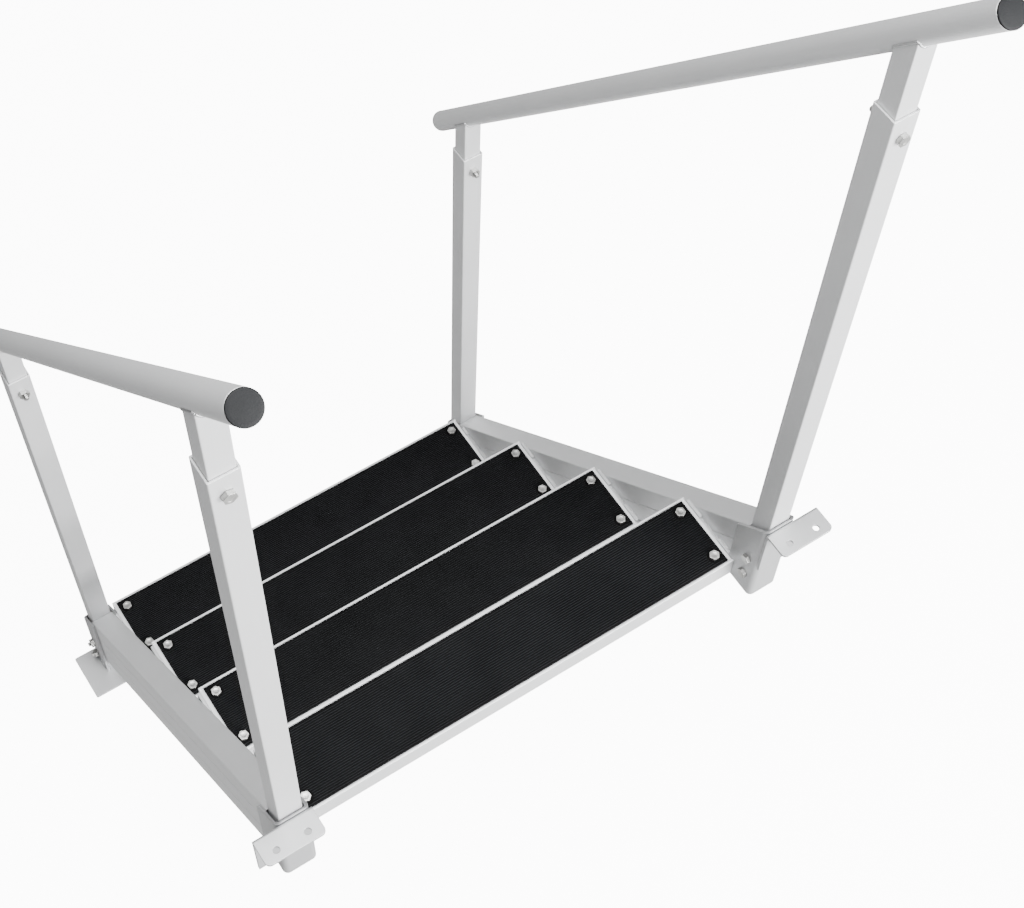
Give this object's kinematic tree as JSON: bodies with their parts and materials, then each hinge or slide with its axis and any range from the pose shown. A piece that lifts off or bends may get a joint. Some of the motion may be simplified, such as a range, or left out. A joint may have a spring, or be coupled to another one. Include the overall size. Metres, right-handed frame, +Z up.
{
  "type": "deck stair with adjustable handrails",
  "caption": "Aluminium stair that hangs from a deck edge, with ribbed rubber tread mats and a height-adjustable handrail on each side.",
  "frame": {"origin": "midway between the two hanger plates, on the line through their outer and inner screw holes, at the deck surface the plates rest on", "axes": "+X across the stair, +Y from the deck out to the ground end, +Z up"},
  "size_m": [0.843, 0.9046, 1.9083],
  "materials": {
    "aluminium": "satin mill-finish extrusion",
    "aluminium_sheet": "bent sheet, slightly duller",
    "zinc_steel": "bright zinc",
    "rubber": "ribbed, dull",
    "black_plastic": "moulded charcoal"
  },
  "bodies": {
    "frame": {"stringer_left": "aluminium", "stringer_right": "aluminium", "top_bracket_left": "aluminium", "top_bracket_right": "aluminium", "foot_bracket_left": "aluminium", "foot_bracket_right": "aluminium", "hanger_left": "aluminium_sheet", "hanger_right": "aluminium_sheet", "foot_plate_left": "aluminium_sheet", "foot_plate_right": "aluminium_sheet", "tread_1": "aluminium", "tread_2": "aluminium", "tread_3": "aluminium", "tread_4": "aluminium", "mat_1": "rubber", "mat_2": "rubber", "mat_3": "rubber", "mat_4": "rubber", "ledge_left_1": "aluminium_sheet", "ledge_left_2": "aluminium_sheet", "ledge_left_3": "aluminium_sheet", "ledge_left_4": "aluminium_sheet", "ledge_right_1": "aluminium_sheet", "ledge_right_2": "aluminium_sheet", "ledge_right_3": "aluminium_sheet", "ledge_right_4": "aluminium_sheet", "tread_bolts_1": "zinc_steel", "tread_bolts_2": "zinc_steel", "tread_bolts_3": "zinc_steel", "tread_bolts_4": "zinc_steel", "tread_nuts_1": "zinc_steel", "tread_nuts_2": "zinc_steel", "tread_nuts_3": "zinc_steel", "tread_nuts_4": "zinc_steel", "lower_tube_top_left": "aluminium", "lower_tube_top_right": "aluminium", "lower_tube_foot_left": "aluminium", "lower_tube_foot_right": "aluminium", "post_bolts": "zinc_steel", "post_nuts": "zinc_steel", "post_spacers": "zinc_steel", "clamp_bolts": "zinc_steel", "clamp_nuts": "zinc_steel"},
    "left_handrail": {"handrail_left": "aluminium", "upper_tube_top_left": "aluminium", "upper_tube_foot_left": "aluminium", "rail_cap_top_left": "black_plastic", "rail_cap_foot_left": "black_plastic"},
    "right_handrail": {"handrail_right": "aluminium", "upper_tube_top_right": "aluminium", "upper_tube_foot_right": "aluminium", "rail_cap_top_right": "black_plastic", "rail_cap_foot_right": "black_plastic"}
  },
  "joints": [
    {"name": "left_handrail_slide", "type": "slide", "parent": "frame", "child": "left_handrail", "axis": [0, 0, 1], "range_m": [0, 0.1]},
    {"name": "right_handrail_slide", "type": "slide", "parent": "frame", "child": "right_handrail", "axis": [0, 0, 1], "range_m": [0, 0.1]}
  ]
}
